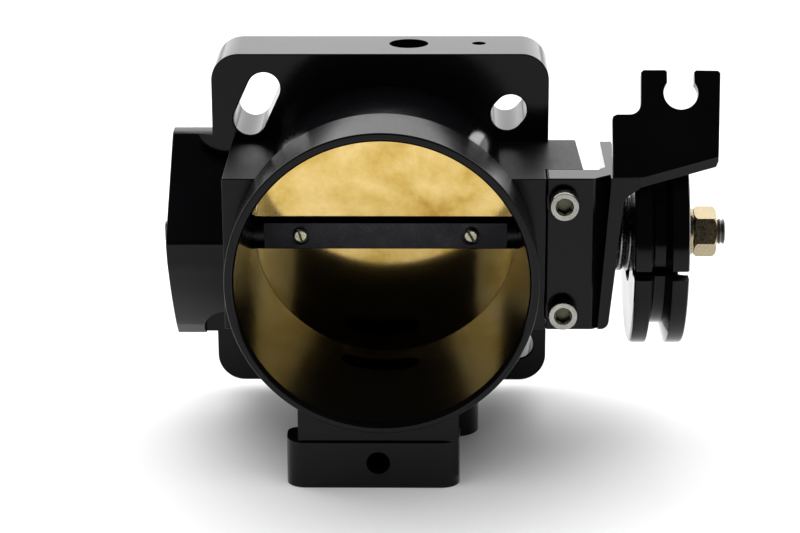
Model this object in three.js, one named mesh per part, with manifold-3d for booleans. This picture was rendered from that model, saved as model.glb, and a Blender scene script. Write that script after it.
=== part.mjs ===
// Cable-operated throttle body: housing with a round bore, brass butterfly
// plate on a cross shaft, grooved cable pulley, torsion return spring and a
// bolted cable bracket. Millimetres, +Z up, +Y from the inlet lip towards the
// mounting flange, +X towards the cable pulley.
import * as THREE from 'three';
import { mergeVertices, toCreasedNormals } from 'three/addons/utils/BufferGeometryUtils.js';
import Module from 'manifold-3d';

const wasm = await Module();
wasm.setup();
const { Manifold, Mesh } = wasm;

// ---------------------------------------------------------------- dimensions
const GAP = 0.3;               // air gap between neighbouring pieces
const OX = -17.65, OY = -43.5, OZ = 61.45;   // design frame to row frame
const LIP_R = 44.45;           // inlet collar, 3.5 inch hose
const LIP_IN = 42.1;           // inlet mouth, inside edge
const BORE_R = 39.2;           // bore at the plate
const COLLAR_Y = 22.5;         // collar length
const NECK_R = 41.9;           // tube behind the collar
const FL_Y0 = 63, FL_Y1 = 87;  // flange faces
const FL_X0 = -52.2, FL_X1 = 48.8, FL_Z = 51.7, FL_R = 8.2;
const CORE_Y0 = 22.6, CORE_ZT = 24.8, CORE_ZB = -20.8;
const SHAFT_Y = 52, SHAFT_R = 5.3;
const TILT = 6.8 * Math.PI / 180; // closed angle of the plate
const PLATE_T = 2.0;
const PULLEY_R = 33.2, PULLEY_X0 = 72.4, PULLEY_X1 = 88.2, GROOVE_X0 = 77.4, GROOVE_X1 = 83.2;
const SEAT_X = 76.1;            // shaft shoulder, inside the pulley's spring recess
const FOOT_Z = -61.45;
const SENSOR_X = -64.2;         // flat left face of the bearing boss
const EAR_A = 30 * Math.PI / 180; // backward lean of the cable ear
const EAR_T = 4.0;

// ------------------------------------------------------------------- helpers
const V2 = (a) => a.map(([x, y]) => new THREE.Vector2(x, y));
function solid(geo) {
  let g = geo.index ? geo.toNonIndexed() : geo.clone();
  const p = new THREE.BufferGeometry();
  p.setAttribute('position', g.getAttribute('position').clone());
  g = mergeVertices(p, 1e-4);
  const src = g.index.array, pos = g.getAttribute('position').array;
  const tri = [];
  for (let i = 0; i < src.length; i += 3) {
    const a = src[i], b = src[i + 1], c = src[i + 2];
    if (a !== b && b !== c && a !== c) tri.push(a, b, c);
  }
  const m = new Manifold(new Mesh({ numProp: 3, vertProperties: new Float32Array(pos), triVerts: new Uint32Array(tri) }));
  if (m.volume() <= 0) throw new Error('inside out');
  return m;
}
function geometryOf(m) {
  const mesh = m.getMesh();
  const g = new THREE.BufferGeometry();
  const np = mesh.numProp, n = mesh.vertProperties.length / np;
  const pos = new Float32Array(n * 3);
  for (let i = 0; i < n; i++) for (let k = 0; k < 3; k++) pos[i * 3 + k] = mesh.vertProperties[i * np + k];
  g.setAttribute('position', new THREE.BufferAttribute(pos, 3));
  g.setIndex(new THREE.BufferAttribute(new Uint32Array(mesh.triVerts), 1));
  return g;
}
const MX = new THREE.Matrix4().set(0, 0, 1, 0, 1, 0, 0, 0, 0, 1, 0, 0, 0, 0, 0, 1); // (a,b,c) -> (c,a,b)
const MY = new THREE.Matrix4().makeRotationX(Math.PI / 2);                           // (a,b,c) -> (a,-c,b)
function rawExtrude(shape, depth) {
  return new THREE.ExtrudeGeometry(shape, { depth, bevelEnabled: false, curveSegments: 10, steps: 1 });
}
const exX = (shape, x0, x1) => solid(rawExtrude(shape, x1 - x0).applyMatrix4(MX).translate(x0, 0, 0));
const exY = (shape, y0, y1) => solid(rawExtrude(shape, y1 - y0).applyMatrix4(MY).translate(0, y1, 0));
const exZ = (shape, z0, z1) => solid(rawExtrude(shape, z1 - z0).translate(0, 0, z0));
const poly = (pts) => new THREE.Shape(V2(pts));
function roundPoly(pts, seg = 6) { // pts: [x, y, radius]
  const out = [];
  const n = pts.length;
  for (let i = 0; i < n; i++) {
    const [x, y, r = 0] = pts[i];
    if (!r) { out.push([x, y]); continue; }
    const [ax, ay] = pts[(i + n - 1) % n], [bx, by] = pts[(i + 1) % n];
    const u = new THREE.Vector2(ax - x, ay - y).normalize(), v = new THREE.Vector2(bx - x, by - y).normalize();
    const half = Math.acos(THREE.MathUtils.clamp(u.dot(v), -1, 1)) / 2;
    const d = r / Math.tan(half), c = u.clone().add(v).normalize().multiplyScalar(r / Math.sin(half));
    const cx = x + c.x, cy = y + c.y;
    let a0 = Math.atan2(y + u.y * d - cy, x + u.x * d - cx), a1 = Math.atan2(y + v.y * d - cy, x + v.x * d - cx);
    let da = a1 - a0;
    while (da > Math.PI) da -= 2 * Math.PI;
    while (da < -Math.PI) da += 2 * Math.PI;
    for (let k = 0; k <= seg; k++) out.push([cx + r * Math.cos(a0 + da * k / seg), cy + r * Math.sin(a0 + da * k / seg)]);
  }
  return poly(out);
}
const box = (x0, x1, y0, y1, z0, z1) =>
  solid(new THREE.BoxGeometry(x1 - x0, y1 - y0, z1 - z0).translate((x0 + x1) / 2, (y0 + y1) / 2, (z0 + z1) / 2));
// lathe of a closed profile [r, h]; axis h
function lathe(pts, seg = 48) {
  const g = new THREE.LatheGeometry(V2([...pts, pts[0]]), seg);
  let m;
  try { m = solid(g); } catch (e) { m = null; }
  if (!m || m.volume() <= 0) m = solid(new THREE.LatheGeometry(V2([...pts, pts[0]].reverse()), seg));
  return m;
}
const RX = [90, 0, 0], RZ = [0, 0, -90];
const latheY = (pts, seg) => lathe(pts, seg);                        // lathe axis is already Y
const latheX = (pts, seg, y = 0, z = 0) => lathe(pts, seg).rotate(RZ).translate([0, y, z]);
const latheZ = (pts, seg, x = 0, y = 0) => lathe(pts, seg).rotate(RX).translate([x, y, 0]);
const rod = (r, a, b) => [[0, a], [r, a], [r, b], [0, b]];
const cylX = (r, a, b, y, z, seg = 32) => latheX(rod(r, a, b), seg, y, z);
const cylY = (r, a, b, x, z, seg = 32) => latheY(rod(r, a, b), seg).translate([x, 0, z]);
const cylZ = (r, a, b, x, y, seg = 32) => latheZ(rod(r, a, b), seg, x, y);
const ring = (ri, ro, a, b, c = 0.4) => [[ri, a + c], [ri + c, a], [ro - c, a], [ro, a + c], [ro, b - c], [ro - c, b], [ri + c, b], [ri, b - c]];
const hexShape = (af, turn = 0) => poly([...Array(6)].map((_, i) => {
  const a = turn + i * Math.PI / 3; return [af / Math.sqrt(3) * Math.cos(a), af / Math.sqrt(3) * Math.sin(a)];
}));

const group = new THREE.Group();
group.name = 'throttle_body';
function put(name, m, color, roughness, metalness, crease = 32) {
  const parts = m.decompose();
  if (parts.length !== 1) throw new Error(name + ' is ' + parts.length + ' bodies');
  let g = geometryOf(m.translate([OX, OY, OZ]));
  g = toCreasedNormals(g, crease * Math.PI / 180);
  const mesh = new THREE.Mesh(g, new THREE.MeshStandardMaterial({ color, roughness, metalness }));
  mesh.name = name;
  group.add(mesh);
}
const BLACK = [0x0b0c0e, 0.22, 0.9];

// ------------------------------------------------------------------- housing
// collar, neck and bead, turned about the bore axis
let tube = latheY([
  [0, 0], [LIP_R - 0.6, 0], [LIP_R, 0.6], [LIP_R, COLLAR_Y - 1.2], [LIP_R - 1.2, COLLAR_Y],
  [NECK_R + 0.4, COLLAR_Y + 0.6], [NECK_R, COLLAR_Y + 2], [NECK_R, FL_Y0 + 2], [0, FL_Y0 + 2]], 112);
const flange = exY(roundPoly([[FL_X0, -FL_Z, FL_R], [FL_X1, -FL_Z, FL_R], [FL_X1, FL_Z, FL_R], [FL_X0, FL_Z, FL_R]], 8), FL_Y0 + 0.5, FL_Y1)
  .add(exY(roundPoly([[FL_X0 + 0.5, -FL_Z + 0.5, FL_R - 0.5], [FL_X1 - 0.5, -FL_Z + 0.5, FL_R - 0.5], [FL_X1 - 0.5, FL_Z - 0.5, FL_R - 0.5], [FL_X0 + 0.5, FL_Z - 0.5, FL_R - 0.5]], 8), FL_Y0, FL_Y0 + 1));
// cross block around the shaft line
const core = box(-46.3, 46.8, CORE_Y0, FL_Y0 + 1, CORE_ZB, CORE_ZT);
const bossR = exZ(poly([[40, 32.6], [57.9, 32.6], [57.0, FL_Y0 + 1], [40, FL_Y0 + 1]]), CORE_ZB, CORE_ZT);
// faceted bearing boss on the left: two slopes meeting in a ridge ahead of the shaft
const bossL = exX(roundPoly([
  [34.0, 1.6, 2.5], [36.4, -5.0, 0], [39.6, -10.4, 0], [44.6, -17.6, 0], [50.6, -25.0, 0], [56.6, -31.6, 0], [61.4, -35.7, 1.0], [69.4, -35.7, 1],
  [69.4, 27.6, 0.5], [64.75, 27.6, 0], [63.0, 26.85, 0]]), SENSOR_X, -45.5)
  .subtract(cylY(8.2, 10, FL_Y0, -48.1, 27.8, 36)).subtract(cylY(8.2, 10, FL_Y0, -47.6, -33.4, 36)); // tool clearance for the flange bolts
let housing = tube.add(flange).add(core).add(bossR).add(bossL);
// foot: web below the bore and its gasket pad with three ears
const web = box(-24.3, 21.8, 1.6, 60.5, -58, -34);
const padFront = exZ(roundPoly([[-27.8, 0.5, 5.5], [22.2, 0.5, 5.5], [22.2, 13, 3], [-27.8, 13, 5.5]]), FOOT_Z, -47.5);
const padMid = exZ(roundPoly([[-24.3, 6, 0], [21.8, 6, 0], [21.8, 60.5, 3], [-24.3, 60.5, 3]]), FOOT_Z, -47.4);
const padEar = exZ(roundPoly([[10, 40.2, 0], [28, 40.2, 7.5], [28, 57, 7.5], [10, 57, 0]]), FOOT_Z, -36);
housing = housing.add(web).add(padFront).add(padMid).add(padEar);
// bore: rounded mouth, taper, straight seat and through to the rear
const bore = latheY([
  [0, -2], [LIP_IN + 1.2, -2], [LIP_IN + 0.5, 0], [LIP_IN - 0.35, 0.75], [LIP_IN - 0.9, 2.1], [BORE_R, 43], [BORE_R, FL_Y1 + 2], [0, FL_Y1 + 2]], 112);
// bolt slots and holes of the flange
function slotY(x0, z0, x1, z1, r, a, b) {
  const t = Math.atan2(z1 - z0, x1 - x0), pts = [];
  for (let i = 0; i <= 12; i++) pts.push([x1 + r * Math.cos(t - Math.PI / 2 + Math.PI * i / 12), z1 + r * Math.sin(t - Math.PI / 2 + Math.PI * i / 12)]);
  for (let i = 0; i <= 12; i++) pts.push([x0 + r * Math.cos(t + Math.PI / 2 + Math.PI * i / 12), z0 + r * Math.sin(t + Math.PI / 2 + Math.PI * i / 12)]);
  return exY(poly(pts), a, b);
}
const cuts = [
  bore,
  slotY(-40.8, 31.7, -36.5, 41.1, 4.95, FL_Y0 - 3, FL_Y1 + 1),
  slotY(36.3, 33.1, 37.4, 34.4, 4.85, FL_Y0 - 3, FL_Y1 + 1),
  slotY(39.6, -39.6, 40.4, -39.9, 4.6, FL_Y0 - 3, FL_Y1 + 1),
  cylY(4.7, FL_Y0 - 3, FL_Y1 + 1, -39.5, -40.5, 28),
  // sensor port and its screw hole in the top of the flange
  cylZ(5.9, FL_Z - 9, FL_Z + 1, 6.8, 76.7, 32), cylZ(3.0, BORE_R - 4, FL_Z, 6.8, 76.7, 20),
  cylZ(2.1, FL_Z - 10, FL_Z + 1, 28.0, 77.0, 20),
  cylZ(2.9, FL_Z - 0.8, FL_Z + 1, 28.0, 77.0, 20),
  // shaft tunnel with bearing pockets at both ends
  cylX(SHAFT_R + 0.35, -70, 70, SHAFT_Y, 0, 36),
  cylX(9.8, -70, -47.2, SHAFT_Y, 0, 40), cylX(9.8, 44.2, 70, SHAFT_Y, 0, 40),
  cylX(10.6, -60.7, -59.3, SHAFT_Y, 0, 40),
  // sensor screw holes
  cylX(1.65, -70, -54, SHAFT_Y + 7, 15.5, 16), cylX(1.65, -70, -54, SHAFT_Y + 7, -15.5, 16),
  // bracket screw holes
  cylY(2.8, 20, 49, 51.9, 17.8, 20), cylY(2.8, 20, 49, 51.9, -15.1, 20),
  // tapped port in the foot's nose
  cylY(3.4, -1, 20, -1.3, -53.8, 28),
  // fast-idle air passages, in front of and behind the plate
  exZ(roundPoly([[-13.2, 38.6, 3.6], [10.0, 38.6, 3.6], [10.0, 47.2, 3.6], [-13.2, 47.2, 3.6]]), FOOT_Z - 1, -30),
  cylZ(4.2, FOOT_Z - 1, -45.6, -1.5, 55.0, 24), cylY(3.6, 55.0, FL_Y1 + 1, -1.5, -46.0, 24),
  // pad screw holes
  cylZ(2.5, FOOT_Z - 1, FOOT_Z + 11, -19.5, 7.0, 18), cylZ(2.5, FOOT_Z - 1, FOOT_Z + 11, 15.5, 7.0, 18), cylZ(2.5, FOOT_Z - 1, FOOT_Z + 13, 20.3, 48.5, 18),
];
for (const c of cuts) housing = housing.subtract(c);
// the bore wall stays whole above the rear passage mouth
put('throttle_housing', housing, ...BLACK);

// ------------------------------------------------------- bearings and seals
const bearing = (x0, x1) => latheX([
  [SHAFT_R + GAP, x0], [7.0, x0], [7.0, x0 + 0.4], [8.0, x0 + 0.4], [8.0, x0], [9.2, x0], [9.5, x0 + 0.3],
  [9.5, x1 - 0.3], [9.2, x1], [8.0, x1], [8.0, x1 - 0.4], [7.0, x1 - 0.4], [7.0, x1], [SHAFT_R + GAP, x1]], 28, SHAFT_Y, 0);
put('shaft_bearing_left', bearing(-58.4, -52.4), 0xb9bcc0, 0.3, 1);
put('shaft_bearing_right', bearing(49.4, 55.4), 0xb9bcc0, 0.3, 1);
const seal = (x0, x1) => latheX([
  [SHAFT_R + GAP, (x0 + x1) / 2 - 0.5], [6.6, x0], [9.5, x0], [9.5, x1], [6.6, x1], [SHAFT_R + GAP, (x0 + x1) / 2 + 0.5]], 36, SHAFT_Y, 0);
put('shaft_seal_left', seal(-51.9, -47.6), 0x141414, 0.7, 0);
put('shaft_seal_right', seal(44.6, 48.9), 0x141414, 0.7, 0);
// split retaining ring in its groove outside the left bearing
const clip = latheX([[7.9, -60.5], [10.25, -60.5], [10.25, -59.5], [7.9, -59.5]], 40, SHAFT_Y, 0).subtract(box(-61, -59, SHAFT_Y - 2.2, SHAFT_Y + 2.2, -12, -5));
put('bearing_retaining_ring', clip, 0x2a2a2c, 0.4, 1);

// -------------------------------------------------------------------- shaft
let shaft = latheX([
  [0, -66.0], [2.7, -66.0], [3.3, -65.4], [3.3, -61.6], [SHAFT_R - 0.4, -61.6], [SHAFT_R, -61.2], [SHAFT_R, SEAT_X], [3.9, SEAT_X], [3.9, 100.3], [3.1, 101.3], [0, 101.3]], 40, SHAFT_Y, 0);
// plate flat and plate slot
const spin = (m, a) => m.translate([0, -SHAFT_Y, 0]).rotate([a * 180 / Math.PI, 0, 0]).translate([0, SHAFT_Y, 0]);
const slotH = PLATE_T / 2 + GAP;
shaft = shaft.subtract(spin(box(-36.2, 36.2, SHAFT_Y - 8, SHAFT_Y - 3.45, -8, 8), TILT));
shaft = shaft.subtract(spin(box(-38.9, 38.9, SHAFT_Y - slotH, SHAFT_Y + slotH, -8, 8), TILT));
const HX = [-25.4, 25.6];
for (const x of HX) {
  shaft = shaft.subtract(spin(cylY(1.8, SHAFT_Y - 6, SHAFT_Y + 6, x, 0, 20), TILT));
  shaft = shaft.subtract(spin(cylY(3.0, SHAFT_Y - 6, SHAFT_Y - 2.75, x, 0, 24), TILT));
}
// flats for the sensor rotor and for the pulley
shaft = shaft.subtract(box(-67, -61.6, SHAFT_Y + 1.6, SHAFT_Y + 5, -5, 5)).subtract(box(-67, -61.6, SHAFT_Y - 5, SHAFT_Y - 1.6, -5, 5));
shaft = shaft.subtract(box(SEAT_X, 89.6, SHAFT_Y - 6, SHAFT_Y + 6, 3.0, 6)).subtract(box(SEAT_X, 89.6, SHAFT_Y - 6, SHAFT_Y + 6, -6, -3.0));
put('throttle_shaft', shaft, 0x17181a, 0.35, 0.9);

// -------------------------------------------------------------------- plate
let plate = cylY(BORE_R - 0.35, SHAFT_Y - 12, SHAFT_Y + 12, 0, 0, 112)
  .intersect(spin(box(-50, 50, SHAFT_Y - PLATE_T / 2, SHAFT_Y + PLATE_T / 2, -50, 50), TILT));
for (const x of HX) plate = plate.subtract(spin(cylY(1.8, SHAFT_Y - 6, SHAFT_Y + 6, x, 0, 20), TILT));
put('throttle_plate', plate, 0xc9a44c, 0.35, 1);
HX.forEach((x, i) => {
  const s = latheY([[0, SHAFT_Y - 4.25], [1.7, SHAFT_Y - 4.25], [2.25, SHAFT_Y - 3.9], [2.25, SHAFT_Y - 3.05], [1.5, SHAFT_Y - 3.05], [1.5, SHAFT_Y + 4.3], [1.2, SHAFT_Y + 4.6], [0, SHAFT_Y + 4.6]], 24)
    .translate([x, 0, 0]).subtract(box(-3, 3, SHAFT_Y - 5, SHAFT_Y - 3.7, -0.3, 0.3).rotate([0, i ? 62 : 75, 0]).translate([x, 0, 0]));
  put(i ? 'plate_screw_right' : 'plate_screw_left', spin(s, TILT), 0xb9b39a, 0.35, 1);
});

// ------------------------------------------------------------------- pulley
const HUB_X0 = SEAT_X + GAP, HUB_X1 = 89.9;
let pulley = latheX([
  [4.2, HUB_X0], [14.2, HUB_X0], [14.5, HUB_X0 - 0.3], [14.5, PULLEY_X0], [PULLEY_R - 1.2, PULLEY_X0], [PULLEY_R, PULLEY_X0 + 1.2], [PULLEY_R, GROOVE_X0 - 0.4], [PULLEY_R - 0.4, GROOVE_X0],
  [27.6, 78.5], [27.2, 78.9], [27.2, 81.4], [27.6, 81.8],
  [PULLEY_R - 0.4, GROOVE_X1], [PULLEY_R, GROOVE_X1 + 0.4], [PULLEY_R, PULLEY_X1 - 1.0], [PULLEY_R - 1.0, PULLEY_X1], [25, PULLEY_X1],
  [24.5, PULLEY_X1 - 2.5], [8.6, PULLEY_X1 - 2.5], [8.2, HUB_X1 - 0.3], [7.9, HUB_X1], [4.2, HUB_X1]], 64, SHAFT_Y, 0);
for (const [za, zb] of [[3.3, 6], [-6, -3.3]]) // flats of the pulley's bore
  pulley = pulley.add(box(HUB_X0, HUB_X1 - 1, SHAFT_Y - 4, SHAFT_Y + 4, za, zb).intersect(cylX(6, HUB_X0, HUB_X1 - 1, SHAFT_Y, 0, 32)));
pulley = pulley.subtract(box(PULLEY_X0 - 1, PULLEY_X1 + 1, 10, 27, -4.8, -1.9)).subtract(cylX(2.6, PULLEY_X0 - 1, PULLEY_X1 + 1, 27, -3.35, 24)); // cable nipple slot
pulley = pulley.add(box(68.1, PULLEY_X0 + 1, SHAFT_Y + 18.5, SHAFT_Y + 26, -2.4, 2.6)); // closed-stop tab
pulley = pulley.subtract(cylX(1.5, HUB_X0 - 1, HUB_X0 + 3.3, SHAFT_Y - 9.5, -7.5, 16));        // spring hole
put('throttle_pulley', pulley, ...BLACK);

// ------------------------------------------------ spacer, washer, nut, spring
put('thrust_washer', latheX([[SHAFT_R + GAP, 56.1], [8.6, 56.1], [8.6, 57.1], [SHAFT_R + GAP, 57.1]], 28, SHAFT_Y, 0), 0x9a9ca0, 0.35, 1);
put('spring_spool', latheX([[SHAFT_R + GAP, 58.2], [8.0, 58.2], [8.2, 58.4], [8.2, 63.4], [8.8, 64], [8.8, 75.2], [8.5, SEAT_X - 0.1], [SHAFT_R + GAP, SEAT_X - 0.1]], 40, SHAFT_Y, 0), 0x202124, 0.5, 0.3);
put('pulley_washer', latheX([[4.2, 90.2], [6.85, 90.2], [7.0, 90.35], [7.0, 91.45], [6.85, 91.6], [4.2, 91.6]], 40, SHAFT_Y, 0), 0xc8b26a, 0.35, 1);
const AF = 13, NUT0 = 91.9, NUT1 = 98.5;
const ch = [[0, NUT0 - 1], [AF / 2 - 0.1, NUT0 - 0.05], [AF / Math.sqrt(3) + 0.3, NUT0 + 1.05], [AF / Math.sqrt(3) + 0.3, NUT1 - 1.05], [AF / 2 - 0.1, NUT1 + 0.05], [0, NUT1 + 1]];
let nut = exX(hexShape(AF, Math.PI / 2), NUT0, NUT1).intersect(lathe(ch, 64).rotate(RZ));
nut = nut.subtract(lathe(rod(4.25, NUT0 - 1, NUT1 + 1), 32).rotate(RZ)).translate([0, SHAFT_Y, 0]);
put('shaft_nut', spin(nut, -17 * Math.PI / 180), 0xd2bd74, 0.3, 1);

const WIRE_R = 1.25, COIL_R = 10.5, PITCH = 2.65;
class Coil extends THREE.Curve {
  getPoint(t) {
    const a = THREE.MathUtils.lerp(962, -70, t) * Math.PI / 180;
    return new THREE.Vector3(72.4 + (215 * Math.PI / 180 - a) / (2 * Math.PI) * PITCH, SHAFT_Y + COIL_R * Math.cos(a), COIL_R * Math.sin(a));
  }
}
const wire = new THREE.Shape();
wire.absarc(0, 0, WIRE_R, 0, Math.PI * 2, false);
const coil = new THREE.ExtrudeGeometry(wire, { steps: 68, extrudePath: new Coil(), bevelEnabled: false, curveSegments: 4 });
const spring = solid(coil);
put('return_spring', spring, 0x9a9a98, 0.3, 1, 50);

// ------------------------------------------------------------- cable bracket
const BY0 = CORE_Y0, BY1 = 32.3;
const STOP_X = 69.3, STOP_Y = SHAFT_Y + 22.2; // closed-stop screw
let bracket = exY(roundPoly([[47.1, -20.8, 0.4], [65.2, -20.8, 2.2], [69.3, 19, 3.5], [73.5, 21.6], [73.5, 24.9], [47.1, 24.9, 0.4]], 4), BY0, BY1);
bracket = bracket.subtract(box(69.3, 80, BY0 + EAR_T, BY1 + 1, -30, 40));
// bevelled recess between the foot and the leg
bracket = bracket.subtract(exZ(poly([[60.2, BY0 - 1], [60.2, BY0], [65.4, BY0 + 4.4], [65.4, BY0 - 1]]), -30, 24.9)
  .intersect(exY(poly([[50, -30], [61.5, -30], [65.3, 23], [65.3, 26], [50, 26]]), BY0 - 2, BY0 + 3)));
// lower strip of the ear and the ear itself, leaning back
const strip = exY(poly([[65.7, 18], [69.2, 19.2], [70.4, 20.4], [73.5, 21.7], [79.1, 23.4], [87.6, 25.8], [95.2, 28.0], [95.7, 31.4], [87.5, 29.6], [80.5, 27.2], [65.7, 27.2]]), BY0, BY0 + EAR_T);
// ear outline in its own plane: x across, v up the slope from the bend line
const KX = 85.45, KV = 23.3, KR = 4.95, KN = 3.9;
const ear2 = [[65.7, -2.2], [80.5, -2.2], [96.0, 2.6], [96.0, 6], [96.9, 29.4], [96.2, 30.1], [KX + KN, 30.1]];
const ka = Math.asin(KN / KR);
for (let i = 0; i <= 28; i++) { const a = ka + (2 * Math.PI - 2 * ka) * i / 28; ear2.push([KX + KR * Math.sin(a), KV + KR * Math.cos(a)]); }
ear2.push([KX - KN, 30.1], [74.8, 30.1], [74.1, 29.4], [73.9, 20.1]);
for (let i = 1; i <= 6; i++) { const a = i / 6 * Math.PI / 2; ear2.push([70.7 + 3.2 * Math.cos(a), 20.1 - 3.2 * Math.sin(a)]); }
ear2.push([65.7, 16.9]);
const earPlate = solid(rawExtrude(poly(ear2), EAR_T).applyMatrix4(MY)).translate([0, EAR_T, 0])
  .rotate([-EAR_A * 180 / Math.PI, 0, 0]).translate([0, BY0, 27.2]);
bracket = bracket.add(strip).add(earPlate).intersect(box(40, 110, BY0, 80, -40, 80));
// side leg running back beside the housing boss, with the closed-stop lug
let leg = exZ(poly([[62.4, 31], [69.3, 31], [69.3, 33.6], [67.6, 35.4], [67.6, FL_Y0], [64.2, FL_Y0], [64.2, 35], [62.4, 33]]), CORE_ZB, 24.9)
  .intersect(exY(poly([[60, -20.8], [65.2, -20.8], [69.4, 19], [69.4, 24.9], [60, 24.9]]), 30, 64));
leg = leg.subtract(cylX(12.6, 60, 72, SHAFT_Y, 0, 40));
const arm = box(64.2, 67.4, 61, 78.2, -12.6, -1).subtract(cylX(12.6, 60, 72, SHAFT_Y, 0, 40));
const lug = box(64.2, 72.0, 67.6, 78.2, -12.6, -6.6).subtract(cylZ(1.8, -14, -5, STOP_X, STOP_Y, 20));
bracket = bracket.add(leg).add(arm.add(lug));
const SZ = [17.8, -15.1], SX = 51.9;
for (const z of SZ) bracket = bracket.subtract(cylY(2.8, 20, 34, SX, z, 24)).subtract(cylY(5.1, 20, BY0 + 0.45, SX, z, 32));
put('cable_bracket', bracket, ...BLACK);
const hexSocket = (af, a, b) => exY(hexShape(af), a, b);
SZ.forEach((z, i) => {
  const h0 = BY0 + 0.45 - GAP;
  const s = latheY([[0, h0 - 5], [3.85, h0 - 5], [4.25, h0 - 4.6], [4.25, h0], [2.5, h0], [2.5, 46], [2.1, 46.5], [0, 46.5]], 36)
    .subtract(hexSocket(4.1, h0 - 6, h0 - 2.2)).subtract(latheY([[0, h0 - 5.1], [2.75, h0 - 5.1], [2.3, h0 - 4.5], [0, h0 - 4.5]], 24))
    .translate([SX, 0, z]);
  put(i ? 'bracket_screw_lower' : 'bracket_screw_upper', s, 0xb5b3a8, 0.3, 1);
});
put('idle_stop_screw', latheZ([[0, -19.4], [1.25, -19.4], [1.5, -19.15], [1.5, -3.1], [1.1, -2.7], [0, -2.7]], 24, STOP_X, STOP_Y)
  .subtract(exZ(hexShape(1.5), -20, -17.6).translate([STOP_X, STOP_Y, 0])), 0x3a3a3c, 0.4, 1);
put('idle_stop_locknut', exZ(hexShape(5.5, Math.PI / 2), -15.6, -13.0).subtract(cylZ(1.8, -17, -12, 0, 0, 20)).translate([STOP_X, STOP_Y, 0]), 0xd2bd74, 0.35, 1);

export default group;
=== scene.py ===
import math
import bpy
import bmesh
from mathutils import Matrix, Vector


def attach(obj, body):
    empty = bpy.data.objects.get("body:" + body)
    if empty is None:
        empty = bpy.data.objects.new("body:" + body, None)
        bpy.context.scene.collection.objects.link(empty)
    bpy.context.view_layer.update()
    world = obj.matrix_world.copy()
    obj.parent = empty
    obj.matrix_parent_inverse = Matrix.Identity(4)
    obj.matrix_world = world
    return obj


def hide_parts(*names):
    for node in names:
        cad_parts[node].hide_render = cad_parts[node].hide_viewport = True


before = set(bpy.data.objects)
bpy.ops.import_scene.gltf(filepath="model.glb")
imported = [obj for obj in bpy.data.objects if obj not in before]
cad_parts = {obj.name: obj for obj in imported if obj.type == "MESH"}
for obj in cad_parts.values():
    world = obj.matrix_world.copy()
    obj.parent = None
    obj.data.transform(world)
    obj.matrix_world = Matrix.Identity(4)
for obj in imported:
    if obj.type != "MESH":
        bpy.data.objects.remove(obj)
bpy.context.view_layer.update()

OFF = Vector((-17.65, -43.5, 61.45))      # design frame (mm, lip centre) to row frame
SC = bpy.context.scene
COL = SC.collection
SHY = 52.0                                # shaft axis
TILT = math.radians(6.8)


# ------------------------------------------------------------------ mesh kit
def new_obj(name, verts, faces):
    me = bpy.data.meshes.new(name)
    me.from_pydata([tuple(v) for v in verts], [], [tuple(f) for f in faces])
    bm = bmesh.new()
    bm.from_mesh(me)
    bmesh.ops.remove_doubles(bm, verts=bm.verts, dist=1e-5)
    bmesh.ops.recalc_face_normals(bm, faces=bm.faces)
    bm.to_mesh(me)
    bm.free()
    o = bpy.data.objects.new(name, me)
    COL.objects.link(o)
    return o


def prism(pts, a, b, axis):
    n = len(pts)
    f = {"X": lambda p, h: (h, p[0], p[1]), "Y": lambda p, h: (p[0], h, p[1]), "Z": lambda p, h: (p[0], p[1], h)}[axis]
    verts = [f(p, a) for p in pts] + [f(p, b) for p in pts]
    faces = [list(range(n))[::-1], list(range(n, 2 * n))] + [[i, (i + 1) % n, n + (i + 1) % n, n + i] for i in range(n)]
    return new_obj("t", verts, faces)


def box(x0, x1, y0, y1, z0, z1):
    return prism([(x0, y0), (x1, y0), (x1, y1), (x0, y1)], z0, z1, "Z")


def rounded(pts, seg=10):
    out, n = [], len(pts)
    for i, p in enumerate(pts):
        x, y = p[0], p[1]
        r = p[2] if len(p) > 2 else 0
        if r <= 0:
            out.append((x, y))
            continue
        u = (Vector(pts[i - 1][:2]) - Vector((x, y))).normalized()
        v = (Vector(pts[(i + 1) % n][:2]) - Vector((x, y))).normalized()
        half = math.acos(max(-1, min(1, u.dot(v)))) / 2
        d, c = r / math.tan(half), Vector((x, y)) + (u + v).normalized() * (r / math.sin(half))
        p0, p1 = Vector((x, y)) + u * d - c, Vector((x, y)) + v * d - c
        a0, a1 = math.atan2(p0.y, p0.x), math.atan2(p1.y, p1.x)
        da = (a1 - a0 + math.pi) % (2 * math.pi) - math.pi
        out += [(c.x + r * math.cos(a0 + da * k / seg), c.y + r * math.sin(a0 + da * k / seg)) for k in range(seg + 1)]
    return out


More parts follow.
